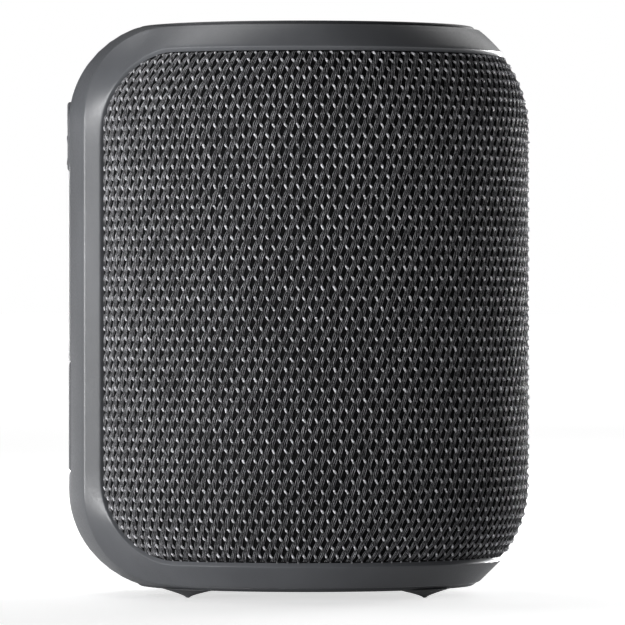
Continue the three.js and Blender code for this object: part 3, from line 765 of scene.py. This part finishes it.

# one repeat of a zigzag yarn, going down: place in the repeat, swing, spread of its plies,
# radius of a thin ply and of the nub ply, height above the backing, paleness of a thin ply and of the nub ply;
# the paleness is painted highlight on the nub and the strands and painted shade on the low ends
# and on the thin plies beside the nub
LOOP = np.array([
    (0.00, -0.26, 0.20, 0.060, 0.090, 0.12, 0.10, 0.25),
    (0.05, -0.17, 0.22, 0.060, 0.220, 0.30, 0.10, 1.00),
    (0.12, 0.00, 0.22, 0.060, 0.240, 0.33, 0.10, 1.00),
    (0.19, 0.15, 0.22, 0.060, 0.220, 0.31, 0.10, 0.90),
    (0.25, 0.26, 0.20, 0.060, 0.100, 0.14, 0.10, 0.25),
    (0.33, 0.30, 0.30, 0.070, 0.070, 0.10, 0.25, 0.15),
    (0.50, 0.07, 0.36, 0.080, 0.080, 0.24, 0.52, 0.42),
    (0.68, -0.16, 0.36, 0.080, 0.080, 0.24, 0.52, 0.42),
    (0.87, -0.30, 0.30, 0.070, 0.070, 0.10, 0.25, 0.15),
])


def knit_top(u, end):
    """Half height of the knit at a length u from the rear, at one end."""
    half_u, half_s = WINDOW_CORNER
    across = np.clip((WINDOW_U + half_u - u) / (half_u - SIDE_GAP), 0, 1)
    return end["edge"] - half_s + (half_s - RING_GAP) * np.sqrt(1 - across ** 2)


def make_cloth():
    first, bend = WINDOW_U + SIDE_GAP, WINDOW_CORNER[0]
    turn = bend * (1 - np.cos(np.linspace(0, math.pi / 2, 24)))
    u = np.concatenate([first + turn, np.linspace(first + bend, FRONT_U, 60)[1:]])
    u = np.concatenate([u, 2 * FRONT_U - u[-2::-1]])
    points, faces = [], []
    for sign, end in ((1, TOP_END), (-1, BOTTOM_END)):
        s = sign * np.outer(knit_top(np.minimum(u, 2 * FRONT_U - u), end), np.linspace(0, 1, 30))
        r, z = outline_point(BODY, s, BACKING)
        grid = about_axis(r, (u / BODY_R)[:, None], z)
        start, (columns, rows) = len(points), grid.shape[:2]
        points += grid.reshape(-1, 3).tolist()
        for i in range(columns - 1):
            for j in range(rows - 1):
                a = start + i * rows + j
                faces.append((a, a + 1, a + rows + 1, a + rows))
    mesh = mesh_from("knit_backing", points, faces)
    mesh = changed(mesh, ("SOLIDIFY", {"thickness": 0.35 * MM, "offset": -1.0}))
    return finish_mesh("knit_backing", mesh, CLOTH_BASE, "housing", ["fabric_sleeve"])


def ply_path(u, shift, ply, chance):
    """Points, outward directions, radii and paleness of one ply of the yarn at a length u from the rear; the
    paleness is painted highlight and painted shade with a random tone.
    """
    rear = min(u, 2 * FRONT_U - u)
    low, high = -knit_top(rear, BOTTOM_END), knit_top(rear, TOP_END)
    repeats = np.arange(math.floor(low / REPEAT) - 1, math.ceil(high / REPEAT) + 2)
    loop = [np.tile(column, len(repeats)) for column in LOOP.T]
    place, swing, spread_out, thin, nub, height, dim, pale = loop
    thick, shade = (nub, pale) if ply == NUB_PLY else (thin, dim)
    count = len(place)
    s = -(np.repeat(repeats, len(LOOP)) + place + shift) * REPEAT + chance.normal(0, 0.05, count)
    across = swing + spread_out * PLIES[ply] + chance.normal(0, 0.03, count)
    height = height + chance.normal(0, 0.03, count)
    thick = thick * chance.uniform(0.85, 1.15, count)
    shade = shade * np.repeat(chance.uniform(0.6, 1.25, len(repeats)), len(LOOP))
    shade = shade * chance.uniform(0.7, 1.3, count)
    keep = (s > low - 0.1) & (s < high + 0.1)
    s, across, thick, height, shade = (value[keep] for value in (s, across, thick, height, shade))
    rise = smooth_step(0, 0.9, np.minimum(np.minimum(s - low, high - s), rear - WINDOW_U))
    depth = BACKING + 0.1 - (height + 0.1) * rise
    r, z = outline_point(BODY, s, depth)
    angle = (u + across) / BODY_R
    centre = about_axis(r, angle, z)
    r, z = outline_point(BODY, s, depth - 1)
    # painted shade: the paleness falls to 0.3 of itself where the yarn dips in at the knit's edges
    return centre, about_axis(r, angle, z) - centre, thick, shade * (0.3 + 0.7 * rise)


def tubes(name, paths, sides):
    """One mesh of tubes, with the paleness of each point, which carries painted highlight and shade, kept as
    an attribute.
    """
    wheel = np.linspace(0, 2 * math.pi, sides, endpoint=False) + math.pi / sides
    points, faces, values = [], [], []
    total = 0
    for centre, out, thick, pale in paths:
        ahead = np.gradient(centre, axis=0)
        beside = np.cross(ahead, out)
        beside /= np.linalg.norm(beside, axis=1)[:, None]
        ring = beside[:, None] * np.cos(wheel)[:, None] + out[:, None] * np.sin(wheel)[:, None]
        points.append((centre[:, None] + ring * thick[:, None, None]).reshape(-1, 3))
        values.append(np.repeat(pale, sides))
        index = total + np.arange(len(centre) * sides).reshape(-1, sides)
        after = np.roll(index, -1, axis=1)
        faces.append(np.stack([index[:-1], index[1:], after[1:], after[:-1]], axis=-1).reshape(-1, 4))
        total += len(centre) * sides
    mesh = bpy.data.meshes.new(name)
    mesh.from_pydata((np.vstack(points) * MM).tolist(), [], np.vstack(faces).tolist())
    attribute = mesh.attributes.new("pale", "FLOAT", "POINT")
    attribute.data.foreach_set("value", np.concatenate(values).astype(np.float32))
    return mesh


def make_yarns():
    first = WINDOW_U + MARGIN
    count = round(2 * (FRONT_U - first) / WALE)
    lengths = np.linspace(first, 2 * FRONT_U - first, count + 1)
    pieces = []
    for ply in range(len(PLIES)):
        chance = np.random.default_rng(20 + ply)
        paths = [ply_path(u, 0.5 * (k % 2), ply, chance) for k, u in enumerate(lengths)]
        third = math.ceil(len(paths) / 3)
        for part, side in enumerate(("right", "front", "left")):
            name = f"knit_ply_{ply + 1}_{side}"
            mesh = tubes(name, paths[part * third:(part + 1) * third], 5 if ply == NUB_PLY else 3)
            pieces.append(finish_mesh(name, mesh, YARN, "housing", sharp=180))
    return pieces


# ---- camera, lights and floor ----

def look_at(thing, target):
    thing.rotation_euler = (Vector(target) - thing.location).to_track_quat("-Z", "Y").to_euler()


def make_camera():
    distance = 1.26
    view_width = 0.12125        # width of the view at the body's axis
    camera = bpy.data.cameras.new("camera")
    camera.sensor_width = 36.0
    camera.lens = camera.sensor_width * distance / view_width
    camera.clip_start = 0.05
    holder = bpy.data.objects.new("camera", camera)
    scene.collection.objects.link(holder)
    holder.location = (AXIS_X * MM + 0.0012028, -distance, 0.0574)
    holder.rotation_euler = (math.pi / 2, 0, 0)
    camera.shift_y = -0.0248
    scene.camera = holder


def area_light(name, azimuth, elevation, distance, size, power):
    """A soft light that looks at the speaker; azimuth 0 is the camera's side and grows to the right."""
    light = bpy.data.lights.new(name, "AREA")
    light.shape = "RECTANGLE"
    light.size, light.size_y = size
    light.energy = power
    holder = bpy.data.objects.new(name, light)
    scene.collection.objects.link(holder)
    turn, lift = math.radians(azimuth), math.radians(elevation)
    holder.location = (
        distance * math.sin(turn) * math.cos(lift),
        -distance * math.cos(turn) * math.cos(lift),
        0.062 + distance * math.sin(lift),
    )
    look_at(holder, (0, 0, 0.055))


def floor_material():
    """Matt pale floor that glows, which is painted light: white far away, with a painted soft shadow where the
    glow dims near the speaker, and dimmer near the speaker in the light it sends back than in view.
    """
    material, nodes, links, shader = new_material("glowing_floor")
    place = nodes.new("ShaderNodeTexCoord").outputs["Object"]
    reach = nodes.new("ShaderNodeVectorMath")
    reach.operation = "LENGTH"
    links.new(place, reach.inputs[0])
    share = nodes.new("ShaderNodeMapRange")
    share.inputs["From Max"].default_value = 2.0
    links.new(reach.outputs["Value"], share.inputs["Value"])
    # glow ramp: 0.1 within 0.1 m of the middle, a painted soft shadow, then 0.62 at 0.4 m and white at 2 m
    glow_with_painted_shadow = nodes.new("ShaderNodeValToRGB")
    glow_with_painted_shadow.color_ramp.interpolation = "EASE"
    first, last = glow_with_painted_shadow.color_ramp.elements
    first.position, first.color = 0.05, (0.1, 0.1, 0.1, 1)
    last.color = (1, 1, 1, 1)
    glow_with_painted_shadow.color_ramp.elements.new(0.2).color = (0.62, 0.62, 0.62, 1)
    links.new(share.outputs["Result"], glow_with_painted_shadow.inputs["Fac"])
    shader.inputs["Base Color"].default_value = (0.9, 0.9, 0.9, 1)
    shader.inputs["Roughness"].default_value = 0.9
    shader.inputs["Emission Color"].default_value = (1, 1, 1, 1)
    in_view = nodes.new("ShaderNodeLightPath").outputs["Is Camera Ray"]
    glow = glow_with_painted_shadow.outputs["Color"]
    for operation, unseen, seen in (("MULTIPLY", 0.75, 1.0), ("MAXIMUM", 0.0, 0.6)):
        amount = nodes.new("ShaderNodeMapRange")
        amount.inputs["To Min"].default_value, amount.inputs["To Max"].default_value = unseen, seen
        links.new(in_view, amount.inputs["Value"])
        step = nodes.new("ShaderNodeMath")
        step.operation = operation
        links.new(glow, step.inputs[0])
        links.new(amount.outputs["Result"], step.inputs[1])
        glow = step.outputs["Value"]
    # the floor glows though it is no lamp: painted light, at least 0.6 in view, which lights the speaker from
    # below at three quarters of its strength
    links.new(glow, shader.inputs["Emission Strength"])
    return material


# azimuth, elevation, distance, (width, height), power
LIGHTS = {
    "low_left": (-66, 0, 0.9, (0.4, 0.12), 4.9),
    "low_front_left": (-45, 0, 0.9, (0.4, 0.12), 2.9),
    "low_front": (-22, 0, 0.9, (0.4, 0.12), 0.8),
    "low_right": (115, 0, 0.9, (0.4, 0.12), 0.4),
    "low_back_right": (145, 0, 0.9, (0.4, 0.12), 9.6),
    "low_back": (180, 0, 0.9, (0.4, 0.12), 2.9),
    "high_back_left": (-137, 60, 1.25, (0.8, 0.6), 4.0),
    "mid_back_right": (150, 26, 1.25, (0.55, 0.9), 2.6),
}


def make_studio():
    floor = bpy.data.objects.new("floor", bpy.data.meshes.new("floor"))
    scene.collection.objects.link(floor)
    reach = 20.0
    corners = [(-reach, -reach, 0), (reach, -reach, 0), (reach, reach, 0), (-reach, reach, 0)]
    floor.data.from_pydata(corners, [], [(0, 1, 2, 3)])
    floor.data.materials.append(floor_material())
    for name, settings in LIGHTS.items():
        area_light(name, *settings)

    world = bpy.data.worlds.new("studio")
    scene.world = world
    world.use_nodes = True
    nodes, links = world.node_tree.nodes, world.node_tree.links
    seen = nodes["Background"]
    seen.inputs["Color"].default_value = (1, 1, 1, 1)
    unseen = nodes.new("ShaderNodeBackground")
    unseen.inputs["Color"].default_value = (0.01, 0.01, 0.01, 1)
    path = nodes.new("ShaderNodeLightPath")
    mix = nodes.new("ShaderNodeMixShader")
    links.new(path.outputs["Is Camera Ray"], mix.inputs["Fac"])
    links.new(unseen.outputs["Background"], mix.inputs[1])
    links.new(seen.outputs["Background"], mix.inputs[2])
    links.new(mix.outputs["Shader"], nodes["World Output"].inputs["Surface"])
    scene.view_settings.view_transform = "Standard"


make_camera()
make_studio()
dress_cad_nodes()
make_frame()
make_port_cover()
make_spine_buttons()
make_sockets()
make_control_panel()
make_glyphs()
make_base()
make_feet()
cloth = make_cloth()
yarns = make_yarns()
